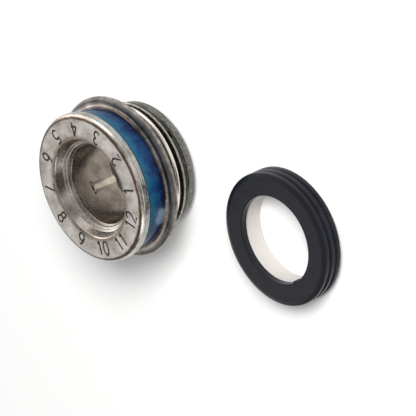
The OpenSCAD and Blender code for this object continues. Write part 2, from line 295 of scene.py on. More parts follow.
def ring_place(material, wobble=0.0):
    """Radius from the head's axis and height, in millimetres, made uneven by a noise."""
    place = object_mm(material)
    if wobble:
        rough = add(material, "ShaderNodeTexNoise", {"Scale": 1 / RING_EDGE_WAVE, "Detail": 1.5},
                    {"Vector": place.outputs[0]})
        shift = add(material, "ShaderNodeVectorMath", {"operation": "MULTIPLY_ADD",
                                                       1: (wobble,) * 3, 2: (-wobble / 2,) * 3},
                    {0: rough.outputs["Color"]})
        place = add(material, "ShaderNodeVectorMath", {"operation": "ADD"},
                    {0: place.outputs[0], 1: shift.outputs[0]})
    flat = add(material, "ShaderNodeVectorMath", {"operation": "MULTIPLY_ADD", 1: (1, 1, 0),
                                                  2: (-HEAD_X, 0, 0)}, {0: place.outputs[0]})
    radius = add(material, "ShaderNodeVectorMath", {"operation": "LENGTH"}, {0: flat.outputs[0]})
    height = add(material, "ShaderNodeSeparateXYZ", links={0: place.outputs[0]})
    return radius.outputs["Value"], height.outputs["Z"]


def over_mm(material, source, stops):
    """Colour ramp over a length: stops are (millimetres, sRGB hex colour)."""
    low, high = stops[0][0], stops[-1][0]
    along = add(material, "ShaderNodeMapRange", {"From Min": low, "From Max": high},
                {"Value": source})
    return ramp(material, along.outputs["Result"],
                [((place - low) / (high - low), linear(code)) for place, code in stops])


def object_mm(material, stretch=(1, 1, 1)):
    """Object coordinates in millimetres, times a stretch."""
    place = add(material, "ShaderNodeTexCoord")
    scale = [s / MM for s in stretch]
    return add(material, "ShaderNodeMapping", {"Scale": scale}, {"Vector": place.outputs["Object"]})


def uv_mm(material, stretch=(1, 1, 1)):
    """Coordinates round and along a turned section in millimetres, times a stretch."""
    place = add(material, "ShaderNodeUVMap", {"uv_map": "turned_mm"})
    return add(material, "ShaderNodeMapping", {"Scale": stretch}, {"Vector": place.outputs["UV"]})


# Real sizes of the marks in each finish, in millimetres
TUMBLING_MARK = 0.45
STAIN = 2.85
RING_EDGE_WAVE = 1.1
DIE_LINE_LENGTH = 5.0
DIE_LINE = 0.25         # really about 0.05, drawn coarser so that it shows
STAMPED_FLOOR_SPECK = 0.17       # really finer than 0.05, drawn coarser so that it shows
BRUSH_STROKE = 2.0
SCUFF = 0.625
WIRE_MARK = 0.33        # really about 0.05, drawn coarser so that it shows
HEAT_SCALE = 0.67
GRAPHITE_GRAIN = 0.25   # really about 0.03, drawn coarser so that it shows
MOULD_CLOUD = 2.0
TALC_SPECK = 0.3
FIRING_SHADE = 0.67     # the grain itself, about 0.01, is too fine to show


def drawn_stainless():
    """Stainless steel sheet, deep drawn and then tumbled: satin warm grey with a fine mottle and
    die lines round its walls. Rings by radius and height paint light into its colour. A brown line
    at the outer corner is a painted reflection of dark surroundings. Near-white bands on that
    corner, on the land and along the flange's rim are painted highlights. The bore is darker and
    browner as painted shade in the tube, and the crests of the drive beads are a painted highlight.
    Thin teal and olive rings on the land are traces of sealant. There is also a browner ring where
    the face turns into the neck, and the flange front is darker and greyer."""
    m = new_material("drawn_stainless_sheet")
    radius, height = ring_place(m, 0.28)
    mottle = add(m, "ShaderNodeTexNoise", {"Scale": 1 / TUMBLING_MARK, "Detail": 6,
                                              "Roughness": 0.65},
                 {"Vector": object_mm(m).outputs[0]})
    stain = add(m, "ShaderNodeTexNoise", {"Scale": 1 / STAIN, "Detail": 3, "Roughness": 0.6},
                {"Vector": object_mm(m).outputs[0]})
    mixed = add(m, "ShaderNodeMath", {"operation": "MULTIPLY_ADD", 1: 0.55},
                {0: mottle.outputs["Fac"], 2: stain.outputs["Fac"]})
    tint = ramp(m, mixed.outputs[0], [(0.55, linear("#a39c96")), (0.8, linear("#d1ccc8")),
                                      (1.0, linear("#eeebe9"))])
    # Tone by radius from the axis. Painted shade: the bore darker and browner. Painted reflection
    # of dark surroundings: the brown line from 13.25 to 13.5 on the outer corner. Painted
    # highlights: near-white from 13.7 to 14.15 on the corner, and from 15.12 on the flange's rim.
    radial_tone_and_painted_light = over_mm(m, radius, [
        (6.9, "#b9b1a8"), (7.75, "#b1a89f"), (7.95, "#cfcac4"), (8.25, "#f7f5f3"),
        (8.45, "#e2dfdc"), (9.0, "#d5d2cf"), (9.35, "#c3bbb3"), (9.7, "#b3a599"),
        (10.3, "#ece8e4"), (13.05, "#f6f3f0"), (13.25, "#94867a"), (13.5, "#75685d"),
        (13.7, "#ffffff"), (14.15, "#ffffff"), (14.3, "#b2b4b5"), (15.0, "#a3a6a8"),
        (15.12, "#f4f1ec"), (15.3, "#f4f1ec")])
    # Tone by height outside the face. Painted highlights: the near-white bands on the land next to
    # the face. The thin teal and olive rings on the land are traces of sealant.
    wall = over_mm(m, height, [
        (FACE_Z - 8.2, "#e6e3e0"), (FACE_Z - 6.7, "#dedbd8"), (FACE_Z - 6.5, "#f4f1ee"),
        (FACE_Z - 2.1, "#c9cdcb"), (FACE_Z - 1.9, "#7f9599"), (FACE_Z - 1.7, "#f6f6f4"),
        (FACE_Z - 1.45, "#b2b4aa"), (FACE_Z - 1.25, "#fafaf8"), (FACE_Z - 0.95, "#86a0a3"),
        (FACE_Z - 0.8, "#fdfbf6"), (FACE_Z - 0.45, "#fffbf4"), (FACE_Z - 0.3, "#efe2d2"),
        (FACE_Z, "#ffffff")])
    outside = add(m, "ShaderNodeMapRange", {"From Min": 13.0, "From Max": 13.4},
                  {"Value": radius})
    # Painted highlight: the crests of the drive beads, where they stand in from the bore, turn pale
    # and warm.
    bead_crest_highlight = add(m, "ShaderNodeMapRange", {"From Min": BORE_R, "From Max": BORE_R - 0.14},
                   {"Value": ring_place(m)[0]})
    radial_tone_and_painted_light = add(m, "ShaderNodeMixRGB", {"Color2": linear("#f6ebdc")},
                {"Fac": bead_crest_highlight.outputs["Result"], "Color1": radial_tone_and_painted_light.outputs["Color"]})
    coloured = tinted(m, tint, radial_tone_and_painted_light)
    coloured = add(m, "ShaderNodeMixRGB", {"blend_type": "MULTIPLY"},
                   {"Fac": outside.outputs["Result"], "Color1": coloured.outputs["Color"],
                    "Color2": wall.outputs["Color"]})
    draw = add(m, "ShaderNodeTexNoise", {"Scale": 1.0, "Detail": 3, "Roughness": 0.5},
               {"Vector": uv_mm(m, (1 / DIE_LINE_LENGTH, 1 / DIE_LINE, 1)).outputs[0]})
    rough = add(m, "ShaderNodeMapRange", {"From Min": 0.3, "From Max": 0.7,
                                          "To Min": 0.2, "To Max": 0.36},
                {"Value": mottle.outputs["Fac"]})
    folded = add(m, "ShaderNodeMapRange", {"From Min": FACE_Z - 6.3, "From Max": FACE_Z - 6.6,
                                           "To Min": 0.0, "To Max": 0.16}, {"Value": height})
    rough = add(m, "ShaderNodeMath", {"operation": "MULTIPLY_ADD"},
                {0: folded.outputs["Result"], 1: outside.outputs["Result"],
                 2: rough.outputs["Result"]})
    relief = add(m, "ShaderNodeMath", {"operation": "ADD"},
                 {0: mottle.outputs["Fac"], 1: draw.outputs["Fac"]})
    bump = add(m, "ShaderNodeBump", {"Strength": 0.22, "Distance": 0.007 * MM},
               {"Height": relief.outputs[0]})
    shader = add(m, "ShaderNodeBsdfPrincipled", {"Metallic": 1.0},
                 {"Base Color": coloured.outputs["Color"], "Roughness": rough.outputs[0],
                  "Normal": bump.outputs["Normal"]})
    return finish_material(m, shader)


def dark_stamped_floor():
    """Floor of a stamped line: near black and matt, with fine specks."""
    m = new_material("stamped_line_dark_floor")
    speck = add(m, "ShaderNodeTexNoise", {"Scale": 1 / STAMPED_FLOOR_SPECK, "Detail": 2},
                {"Vector": object_mm(m).outputs[0]})
    tint = ramp(m, speck.outputs["Fac"], [(0.35, linear("#1d1a18")), (0.7, linear("#3a3632"))])
    shader = add(m, "ShaderNodeBsdfPrincipled", {"Roughness": 0.7},
                 {"Base Color": tint.outputs["Color"]})
    return finish_material(m, shader)


# Middle of the pale patch painted as a reflection on the sealant, moved by the mean of the noise
# that frays its edge
PAINTED_GLINT_FRAY = 3.0
PAINTED_GLINT_MIDDLE = tuple(c + PAINTED_GLINT_FRAY / 2 for c in (HEAD_X + 12.4, -2.0, FACE_Z - 5.3))


def sealant_lacquer():
    """Blue sealant lacquer, brushed on: glossy and deep, teal where it is thin and navy where it is
    thick, darker towards its rear edge as a painted reflection of dark surroundings, with a few
    dull scuffs and one pale patch that is a painted reflection."""
    m = new_material("blue_sealant_lacquer")
    place = add(m, "ShaderNodeSeparateXYZ", links={0: object_mm(m).outputs[0]})
    cloud = add(m, "ShaderNodeTexNoise", {"Scale": 1 / BRUSH_STROKE, "Detail": 6, "Roughness": 0.7},
                {"Vector": object_mm(m).outputs[0]})
    # Painted reflection of dark surroundings: the tone is pushed towards navy lower down, at the
    # rear edge by the flange.
    height = add(m, "ShaderNodeMapRange", {"From Min": FACE_Z - 6.1, "From Max": FACE_Z - 2.5,
                                           "To Min": -0.2, "To Max": 0.42},
                 {"Value": place.outputs["Z"]})
    brush_tone_and_dark_reflection = add(m, "ShaderNodeMath", {"operation": "MULTIPLY_ADD", 1: 1.1},
                {0: cloud.outputs["Fac"], 2: height.outputs["Result"]})
    tint = ramp(m, brush_tone_and_dark_reflection.outputs[0], [(0.34, linear("#0a122b")), (0.5, linear("#0f2446")),
                                      (0.68, linear("#15385c")), (0.92, linear("#205069"))])
    scuff = add(m, "ShaderNodeTexNoise", {"Scale": 1 / SCUFF, "Detail": 5, "Roughness": 0.8},
                {"Vector": object_mm(m).outputs[0]})
    worn = add(m, "ShaderNodeMapRange", {"From Min": 0.66, "From Max": 0.74},
               {"Value": scuff.outputs["Fac"]})
    scuffs_and_painted_glint = add(m, "ShaderNodeMixRGB", {"Color2": linear("#6f8fa8")},
                  {"Fac": worn.outputs["Result"], "Color1": tint.outputs["Color"]})
    # Painted reflection: a pale patch round the middle given above, with its edge frayed by the
    # scuff noise.
    uneven = add(m, "ShaderNodeVectorMath", {"operation": "MULTIPLY_ADD", 1: (PAINTED_GLINT_FRAY,) * 3},
                 {0: scuff.outputs["Color"], 2: object_mm(m).outputs[0]})
    from_painted_glint = add(m, "ShaderNodeVectorMath", {"operation": "SUBTRACT", 1: PAINTED_GLINT_MIDDLE},
                   {0: uneven.outputs[0]})
    squeezed = add(m, "ShaderNodeVectorMath", {"operation": "MULTIPLY", 1: (1, 0.8, 1.15)},
                   {0: from_painted_glint.outputs[0]})
    far = add(m, "ShaderNodeVectorMath", {"operation": "LENGTH"}, {0: squeezed.outputs[0]})
    painted_glint = add(m, "ShaderNodeMapRange", {"From Min": 1.9, "From Max": 1.4, "To Max": 0.42},
                 {"Value": far.outputs["Value"]})
    scuffs_and_painted_glint = add(m, "ShaderNodeMixRGB", {"Color2": linear("#9fb3c8")},
                  {"Fac": painted_glint.outputs["Result"], "Color1": scuffs_and_painted_glint.outputs["Color"]})
    rough = add(m, "ShaderNodeMapRange", {"To Min": 0.1, "To Max": 0.5},
                {"Value": worn.outputs["Result"]})
    shader = add(m, "ShaderNodeBsdfPrincipled", {"IOR": 1.45, "Specular IOR Level": 0.12},
                 {"Base Color": scuffs_and_painted_glint.outputs["Color"], "Roughness": rough.outputs["Result"]})
    return finish_material(m, shader)


def drawn_wire():
    """Cold drawn stainless spring wire: bright and warm, in places a little duller from the die."""
    m = new_material("drawn_spring_wire")
    grain = add(m, "ShaderNodeTexNoise", {"Scale": 1 / WIRE_MARK, "Detail": 3},
                {"Vector": object_mm(m).outputs[0]})
    rough = add(m, "ShaderNodeMapRange", {"To Min": 0.16, "To Max": 0.3},
                {"Value": grain.outputs["Fac"]})
    shader = add(m, "ShaderNodeBsdfPrincipled",
                 {"Metallic": 1.0, "Base Color": linear("#efe6da")},
                 {"Roughness": rough.outputs["Result"]})
    return finish_material(m, shader)


def dull_pressed_steel():
    """Pressed steel left dull from heat treatment: dark matt grey with specks. Bands by height
    paint
    light into it: a painted highlight along the cut edge of the spring plate, a darker skirt, and
    where the skirt meets the nose ring a painted shade line with a painted highlight just above it."""
    m = new_material("dull_pressed_steel")
    height = ring_place(m, 0.05)[1]
    speck = add(m, "ShaderNodeTexNoise", {"Scale": 1 / HEAT_SCALE, "Detail": 7, "Roughness": 0.78},
                {"Vector": object_mm(m).outputs[0]})
    tint = ramp(m, speck.outputs["Fac"], [(0.32, linear("#75746f")), (0.55, linear("#b9b8b3")),
                                          (0.7, linear("#e4e3df"))])
    # Bands by height. Painted shade: the dark line from 2.98 to 3.1 where the skirt stands on the
    # nose ring. Painted highlights: the pale line just above it on the skirt's foot, and the pale
    # cut edge of the plate from 4.2.
    height_tone_and_painted_light = over_mm(m, height, [
        (0.0, "#a3a3a1"), (2.0, "#b9b9b6"), (2.8, "#a5a5a0"), (2.98, "#2a2926"), (3.1, "#353430"),
        (3.16, "#dcdad4"), (3.24, "#e6e4de"), (3.32, "#5d5b55"), (3.95, "#66645e"),
        (4.12, "#54524c"), (4.2, "#f2efe8"), (4.6, "#f8f5ef")])
    coloured = tinted(m, tint, height_tone_and_painted_light)
    bump = add(m, "ShaderNodeBump", {"Strength": 0.4, "Distance": 0.03 * MM},
               {"Height": speck.outputs["Fac"]})
    shader = add(m, "ShaderNodeBsdfPrincipled", {"Metallic": 1.0, "Roughness": 0.42},
                 {"Base Color": coloured.outputs["Color"], "Normal": bump.outputs["Normal"]})
    return finish_material(m, shader)


def lapped_carbon():
    """Carbon graphite, turned and lapped: dark grey with a low satin shine."""
    m = new_material("lapped_carbon_graphite")
    grain = add(m, "ShaderNodeTexNoise", {"Scale": 1 / GRAPHITE_GRAIN, "Detail": 4},
                {"Vector": object_mm(m).outputs[0]})
    tint = ramp(m, grain.outputs["Fac"], [(0.3, linear("#232325")), (0.7, linear("#313134"))])
    shader = add(m, "ShaderNodeBsdfPrincipled", {"Roughness": 0.38, "IOR": 1.6},
                 {"Base Color": tint.outputs["Color"]})
    return finish_material(m, shader)


def moulded_rubber():
    """Nitrile rubber moulded in a polished tool: blue-black, with a soft shine on the ribs, pale
    talc dust left as fine specks, and a faint grain."""
    m = new_material("moulded_nitrile_rubber")
    cloud = add(m, "ShaderNodeTexNoise", {"Scale": 1 / MOULD_CLOUD, "Detail": 5, "Roughness": 0.7},
                {"Vector": object_mm(m).outputs[0]})
    tint = ramp(m, cloud.outputs["Fac"], [(0.3, linear("#0c0d12")), (0.7, linear("#171922"))])
    speck = add(m, "ShaderNodeTexNoise", {"Scale": 1 / TALC_SPECK, "Detail": 3, "Roughness": 0.8},
                {"Vector": object_mm(m).outputs[0]})
    talc = add(m, "ShaderNodeMapRange", {"From Min": 0.64, "From Max": 0.8, "To Max": 0.3},
               {"Value": speck.outputs["Fac"]})
    dusty = add(m, "ShaderNodeMixRGB", {"Color2": linear("#8b8a88")},
                {"Fac": talc.outputs["Result"], "Color1": tint.outputs["Color"]})
    bump = add(m, "ShaderNodeBump", {"Strength": 0.25, "Distance": 0.012 * MM},
               {"Height": speck.outputs["Fac"]})
    shader = add(m, "ShaderNodeBsdfPrincipled",
                 {"Roughness": 0.34, "IOR": 1.5, "Specular IOR Level": 0.27},
                 {"Base Color": dusty.outputs["Color"], "Normal": bump.outputs["Normal"]})
    return finish_material(m, shader)


def fired_alumina():
    """Alumina ceramic, fired and ground: warm white with faint clouds and a low satin shine."""
    m = new_material("fired_alumina_ceramic")
    grain = add(m, "ShaderNodeTexNoise", {"Scale": 1 / FIRING_SHADE, "Detail": 4},
                {"Vector": object_mm(m).outputs[0]})
    tint = ramp(m, grain.outputs["Fac"], [(0.3, linear("#bfbab4")), (0.7, linear("#c6c1bc"))])
    shader = add(m, "ShaderNodeBsdfPrincipled", {"Roughness": 0.35, "IOR": 1.76},
                 {"Base Color": tint.outputs["Color"]})
    return finish_material(m, shader)


steel = drawn_stainless()
stamped_floor_dark = dark_stamped_floor()
lacquer = sealant_lacquer()
wire_steel = drawn_wire()
dull_steel = dull_pressed_steel()
carbon = lapped_carbon()
rubber = moulded_rubber()
alumina = fired_alumina()


def dress(piece, material, body, slot, *nodes):
    """Gives a piece its finish and body, in place of the CAD nodes. The slot is not used."""
    piece.data.materials.append(material)
    if body:
        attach(piece, body)
    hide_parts(*nodes)
    return piece


# Case: one drawn sheet, its face stamped with plain numbers
def bead_angles():
    return [BEAD_ANGLE + 2 * math.pi * i / BEAD_COUNT for i in range(BEAD_COUNT)]


def post_surface(angle):
    """Radius at which the groove behind a bead is met from the axis, or a large one beside it."""
    nearest = min(abs((angle - b + math.pi) % (2 * math.pi) - math.pi) for b in bead_angles())
    side = BEAD_X * math.sin(nearest)
    if nearest > 0.5 or abs(side) >= GROOVE_R:
        return 99.0
    return BEAD_X * math.cos(nearest) - math.sqrt(GROOVE_R ** 2 - side ** 2)


def bead_rise(angle, grow):
    """Height of a drive bead over the tube's bore, with soft flanks."""
    nearest = min(abs((angle - b + math.pi) % (2 * math.pi) - math.pi) for b in bead_angles())
    share = TAIL_BORE_R * nearest / (BEAD_FOOT * (0.5 + 0.5 * grow))
    return BEAD_RISE * grow * math.cos(math.pi / 2 * share) ** 2 if share < 1 else 0.0


def build_case():
    """Tube with its beads, neck with a stepped ledge, rim with the land, wall and folded flange."""
    tube = [
        (TAIL_BORE_R, TUBE_END, 0),
        (TAIL_BORE_R, BEAD_TOP - BEAD_START, 0),
        (TAIL_BORE_R, BEAD_TOP, 0),
        (TAIL_BORE_R, TUBE_START, 0),
        (BORE_R, FACE_Z - 6.2, 0),
    ]
    neck = [
        (BORE_R, FACE_Z - 2.6, 0.35),
        (BORE_R + 0.42, FACE_Z - 2.35, 0.08),
        (BORE_R + 0.5, FACE_Z - 2.12, 0.08),
        (BORE_R + 0.88, FACE_Z - 1.94, 0.08),
        (BORE_R + 0.94, FACE_Z - 1.74, 0.08),
        (BORE_R + 1.24, FACE_Z - 1.58, 0.15),
        (BORE_R + 1.95, FACE_Z, 0.55),
    ]
    neck_back = [
        (BORE_R, FACE_Z - 2.65, 0.5),
        (BORE_R + 1.2, FACE_Z - 1.7, 0.25),
        (BORE_R + 1.95, FACE_Z, 0.55),
    ]
    rim = [
        (LAND_R, FACE_Z, 1.0),
        (LAND_R, LAND_END, 0.25),
        (WALL_R, WALL_TOP, 0.3),
        (WALL_R, FLANGE_TOP, 0.75),
        (FLANGE_R, FLANGE_TOP, 0.74),
        (FLANGE_R, FLANGE_BOTTOM, 0.74),
        (FLANGE_R - HEM_W, FLANGE_BOTTOM, 0),
    ]
    front = smooth(tube + neck + rim)
    back = smooth(moved(tube + neck_back + rim, -SHEET))
    section = supported(front + back[::-1])

    def pressed(r, z, angle):
        if z > BEAD_TOP or r > TAIL_R + 0.1:
            return r, z
        grow = min((BEAD_TOP - z) / BEAD_START, 1)
        if r < TAIL_BORE_R + 0.1:
            return r - bead_rise(angle, grow), z
        if z < BEAD_TOP - 0.2:
            return soft_min(r, post_surface(angle), 0.06), z
        return r, z

    half = math.degrees(BEAD_FOOT / TAIL_BORE_R)
    angles = dense_angles(bead_angles(), half, 0.7, 2.0)
    return turned("case_sheet", HEAD, section, angles, pressed)


case_sheet = dress(build_case(), steel, "root", "stainless_sheet", "case")


# Stamped numbers: round-nosed strokes cut into the face
def arc(cx, cy, rx, ry, start, stop, steps=14):
    sweep = [math.radians(start + (stop - start) * i / steps) for i in range(steps + 1)]
    return [(cx + rx * math.cos(a), cy + ry * math.sin(a)) for a in sweep]


SIX = [arc(0.3, 0.3, 0.3, 0.3, 0, 360), arc(0.62, 0.3, 0.62, 0.7, 180, 112)]
DIGITS = {
    "0": [arc(0.3, 0.5, 0.3, 0.5, 0, 360)],
    "1": [[(0.1, 0.78), (0.34, 1.0)], [(0.34, 1.0), (0.34, 0.0)]],
    "2": [arc(0.3, 0.71, 0.29, 0.29, 165, -38) + [(0.02, 0.0), (0.62, 0.0)]],
    "3": [arc(0.27, 0.76, 0.25, 0.24, 150, -90), arc(0.27, 0.26, 0.3, 0.26, 90, -150)],
    "4": [[(0.46, 0.0), (0.46, 1.0)], [(0.46, 1.0), (0.0, 0.3)], [(0.0, 0.3), (0.64, 0.3)]],
    "5": [[(0.56, 1.0), (0.1, 1.0), (0.05, 0.57)], arc(0.27, 0.33, 0.31, 0.33, 125, -145)],
    "6": SIX,
    "7": [[(0.0, 1.0), (0.6, 1.0), (0.22, 0.0)]],
    "8": [arc(0.3, 0.76, 0.24, 0.24, 0, 360), arc(0.3, 0.26, 0.3, 0.26, 0, 360)],
    "9": [[(0.6 - x, 1 - y) for x, y in stroke] for stroke in SIX],
}
NUMBER_COUNT = 12
FIRST_ANGLE = math.radians(20)
DIGIT_R = 11.2
DIGIT_H = 2.6
DIGIT_SLIM = 0.82
# Width and spacing of the digits, as shares of their height before they are made slimmer
DIGIT_W, DIGIT_PITCH = 0.62, 0.8
STROKE_W = 0.42
STROKE_DEPTH = 0.16
STROKE_SIDES = 8
# The flat of the face between these radii is lifted out, cut as a slab and welded back
FLAT_R = (9.55, 13.03)
SLAB_T = 0.4
WELD = 0.002


def stroke_mesh(points, verts, faces):
    """Adds one round-nosed tool path, as a closed body, to a list of vertices and faces."""
    closed = (Vector(points[0]) - Vector(points[-1])).length < 1e-4
    if closed:
        points = points[:-1]
    count = len(points)
    first = len(verts)
    for i, p in enumerate(points):
        before = Vector(points[i - 1] if i or closed else p)
        after = Vector(points[(i + 1) % count] if i < count - 1 or closed else p)
        along = unit(after - before)
        across = Vector((-along.y, along.x))
        for k in range(STROKE_SIDES):
            b = 2 * math.pi * (k + 0.5) / STROKE_SIDES
            side = across * math.cos(b) * STROKE_W / 2
            verts.append((p[0] + side.x, p[1] + side.y, FACE_Z + math.sin(b) * STROKE_DEPTH))
    rings = count if closed else count - 1
    for i in range(rings):
        a = first + i * STROKE_SIDES
        b = first + ((i + 1) % count) * STROKE_SIDES
        for k in range(STROKE_SIDES):
            m = (k + 1) % STROKE_SIDES
            faces.append((a + k, a + m, b + m, b + k))
    if not closed:
        faces.append(tuple(first + k for k in reversed(range(STROKE_SIDES))))
        last = first + (count - 1) * STROKE_SIDES
        faces.append(tuple(last + k for k in range(STROKE_SIDES)))


def settle(items, key):
    """Sorts mesh elements. Extruding leaves them in an order that changes from run to run."""
    place = {item: i for i, item in enumerate(sorted(items, key=key))}
    items.sort(key=place.get)
    items.index_update()


def stamp_numbers(piece):
    """Cuts the numbers into the flat of the face, which is lifted out as a slab and put back."""
    verts, faces = [], []
    for n in range(NUMBER_COUNT):
        text = str(n + 1)
        angle = 2 * math.pi * n / NUMBER_COUNT + FIRST_ANGLE
        up = -Vector((math.cos(angle), math.sin(angle)))
        right = Vector((up.y, -up.x))
        width = DIGIT_W + (len(text) - 1) * DIGIT_PITCH
        for place, digit in enumerate(text):
            for stroke in DIGITS[digit]:
                path = []
                for x, y in stroke:
                    p = right * (x + place * DIGIT_PITCH - width / 2) * DIGIT_H * DIGIT_SLIM
                    p += up * (y - 0.5) * DIGIT_H - up * DIGIT_R
                    path.append((HEAD_X + p.x, p.y))
                stroke_mesh(path, verts, faces)
    punch_mesh = bpy.data.meshes.new("number_punch")
    punch_mesh.from_pydata([Vector(v) * MM for v in verts], [], faces)
    punch_mesh.materials.append(steel)
    punch_mesh.materials.append(stamped_floor_dark)
    for polygon in punch_mesh.polygons:
        polygon.material_index = 1
    punch = bpy.data.objects.new("number_punch", punch_mesh)
    bpy.context.scene.collection.objects.link(punch)

    sheet = bmesh.new()
    sheet.from_mesh(piece.data)
    flat = [f for f in sheet.faces if all(
        v.co.z > (FACE_Z - 0.001) * MM
        and FLAT_R[0] < (v.co / MM - HEAD).to_2d().length < FLAT_R[1]
        for v in f.verts)]
    slab = sheet.copy()
    slab.faces.ensure_lookup_table()
    sheet.faces.index_update()
    chosen = {f.index for f in flat}
    bmesh.ops.delete(slab, geom=[f for f in slab.faces if f.index not in chosen], context="FACES")
    bmesh.ops.delete(sheet, geom=flat, context="FACES_ONLY")
    sheet.to_mesh(piece.data)
    sheet.free()
    lower = bmesh.ops.extrude_face_region(slab, geom=slab.faces[:], use_keep_orig=True)
    bmesh.ops.translate(slab, vec=(0, 0, -SLAB_T * MM),
                        verts=[v for v in lower["geom"] if isinstance(v, bmesh.types.BMVert)])
    bmesh.ops.recalc_face_normals(slab, faces=slab.faces[:])
    settle(slab.verts, lambda v: tuple(v.co))
    for items in (slab.edges, slab.faces):
        settle(items, lambda item: sorted(v.index for v in item.verts))
    slab_mesh = bpy.data.meshes.new("number_slab")
    slab.to_mesh(slab_mesh)
    slab.free()
    slab_mesh.materials.append(steel)
    slab_mesh.materials.append(stamped_floor_dark)
    plate = bpy.data.objects.new("number_slab", slab_mesh)
    bpy.context.scene.collection.objects.link(plate)
    cut = plate.modifiers.new("stamp", "BOOLEAN")
    cut.operation = "DIFFERENCE"
    cut.solver = "EXACT"
    cut.use_self = True
    cut.object = punch
    bpy.context.view_layer.update()
    depsgraph = bpy.context.evaluated_depsgraph_get()
    done = bpy.data.meshes.new_from_object(plate.evaluated_get(depsgraph))
    joined = bmesh.new()
    joined.from_mesh(done)
    bmesh.ops.delete(joined, geom=[f for f in joined.faces if any(
        v.co.z < (FACE_Z - SLAB_T * 0.75) * MM for v in f.verts)], context="FACES")
    joined.from_mesh(piece.data)
    bmesh.ops.remove_doubles(joined, verts=joined.verts[:], dist=WELD * MM)
    piece.data.materials.append(stamped_floor_dark)
    joined.to_mesh(piece.data)
    joined.free()
    bpy.data.objects.remove(punch)
    bpy.data.objects.remove(plate)


stamp_numbers(case_sheet)


# Sealant band: a film that follows the wall, with brushed edges
FILM_T = 0.14
FILM_WAVE, EDGE_WAVE = 0.02, 0.035


def build_film():
    outer = [
        (WALL_R + 0.28, FACE_Z - 2.32, 0),
        (WALL_R + FILM_T, FACE_Z - 2.55, 0.2),
        (WALL_R + FILM_T, FACE_Z - 5.95, 0.1),
        (WALL_R + 0.1, FACE_Z - 6.12, 0),
    ]
    inner = [
        Vector((WALL_R - 0.02, FACE_Z - 6.0)),
        Vector((WALL_R - 0.02, FACE_Z - 2.45)),
        Vector((WALL_R + 0.2, FACE_Z - 2.3)),
    ]
    section = supported(smooth(outer) + inner, near=0.04)

    def brushed(r, z, angle):
        """Slow waves in the film's thickness and along its edges."""
        p = Vector((math.cos(angle) * 6, math.sin(angle) * 6, z * 1.5))
        return r + FILM_WAVE * noise.noise(p), z + EDGE_WAVE * noise.noise(p * 1.7)

    return turned("sealant_film", HEAD, section, even_angles(180), brushed, sharp_deg=60)


dress(build_film(), lacquer, "root", "blue_sealant", "sealant_band")


# Coil spring: one round wire with a closed turn at each end
WIRE_R = 0.45
SPRING_R = 12.1
SPRING_TURNS = 3.75
CLOSED_STEP = 0.94
TIP_ANGLE = math.radians(-30)
TIP_TAPER = (0.8, 0.95, 1)
WIRE_SIDES, WIRE_STEPS = 20, 360


def build_spring():
    """Wire that climbs one closed step per turn, with the rest of the rise eased in between."""
    rise = CLAMP_BOTTOM - CUP_TOP - 2 * WIRE_R
    open_rise = rise - CLOSED_STEP * SPRING_TURNS
    verts, faces = [], []
    for i in range(WIRE_STEPS + 1):
        n = i * SPRING_TURNS / WIRE_STEPS
        c = min(max((n - 1) / (SPRING_TURNS - 2), 0), 1)
        eased = c - math.sin(2 * math.pi * c) / (2 * math.pi)
        middle = CUP_TOP + WIRE_R + CLOSED_STEP * n + open_rise * eased
        a = TIP_ANGLE - 2 * math.pi * n
        wire = WIRE_R * TIP_TAPER[min(i, WIRE_STEPS - i, 2)]
        for k in range(WIRE_SIDES):
            b = 2 * math.pi * k / WIRE_SIDES
            r, z = SPRING_R + wire * math.cos(b), middle + wire * math.sin(b)
            verts.append((HEAD + Vector((r * math.cos(a), r * math.sin(a), z))) * MM)
    for i in range(WIRE_STEPS):
        here, there = i * WIRE_SIDES, (i + 1) * WIRE_SIDES
        for k in range(WIRE_SIDES):
            m = (k + 1) % WIRE_SIDES
            faces.append((here + k, here + m, there + m, there + k))
    faces.append(tuple(reversed(range(WIRE_SIDES))))
    faces.append(tuple(WIRE_STEPS * WIRE_SIDES + k for k in range(WIRE_SIDES)))
    mesh = bpy.data.meshes.new("spring_wire")
    mesh.from_pydata(verts, [], faces)
    mesh.shade_smooth()
    mesh.set_sharp_from_angle(angle=math.radians(50))
    piece = bpy.data.objects.new("spring_wire", mesh)
    bpy.context.scene.collection.objects.link(piece)
    return piece


spring = dress(build_spring(), wire_steel, None, "spring_wire", "coil_spring")
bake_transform(spring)


# Bellows: head on the carbon, one inward fold and a clamped tail
RUBBER_T = 0.7
RUBBER_GAP = 0.05
SLEEVE_R = 10.75
FOLD_CLEARANCE = 1.1


def build_bellows():
    head_r = DRIVE_R - SHEET - 0.08
    crease_r = TAIL_R + FOLD_CLEARANCE + RUBBER_T
    foot = CARBON_TOP + RUBBER_T
    crease = CARBON_TOP + 3.3
    sleeve = [
        (head_r, foot, 0),
        (head_r, crease - 1, 0.8),
        (crease_r, crease, 0.8),
        (crease_r, crease + 1.7, 0.8),
        (SLEEVE_R, crease + 2.7, 0.8),
        (SLEEVE_R, CLAMP_TOP, 0),
    ]
    grip = [Vector(p) for p in (
        (CARBON_R + RUBBER_GAP, 1.15), (CARBON_R + 0.15, 1.15), (head_r + 0.03, 2.2),
        (head_r + 0.03, DRIVE_TOP - RUBBER_GAP), (head_r, DRIVE_TOP - RUBBER_GAP),
    )]
    tail = [Vector(p) for p in (
        (CLAMP_R, CLAMP_TOP), (CLAMP_R, FACE_Z - SHEET), (SLEEVE_R - RUBBER_T, FACE_Z - SHEET),
    )]
    lip = [Vector(p) for p in (
        (NOSE_R, foot), (NOSE_R, CARBON_TOP + RUBBER_GAP),
        (CARBON_R + RUBBER_GAP, CARBON_TOP + RUBBER_GAP),
    )]
    inner_side = smooth(moved(sleeve, RUBBER_T))[::-1]
    section = supported(grip + smooth(sleeve) + tail + inner_side + lip)
    return turned("bellows_sleeve", HEAD, section, even_angles(120))


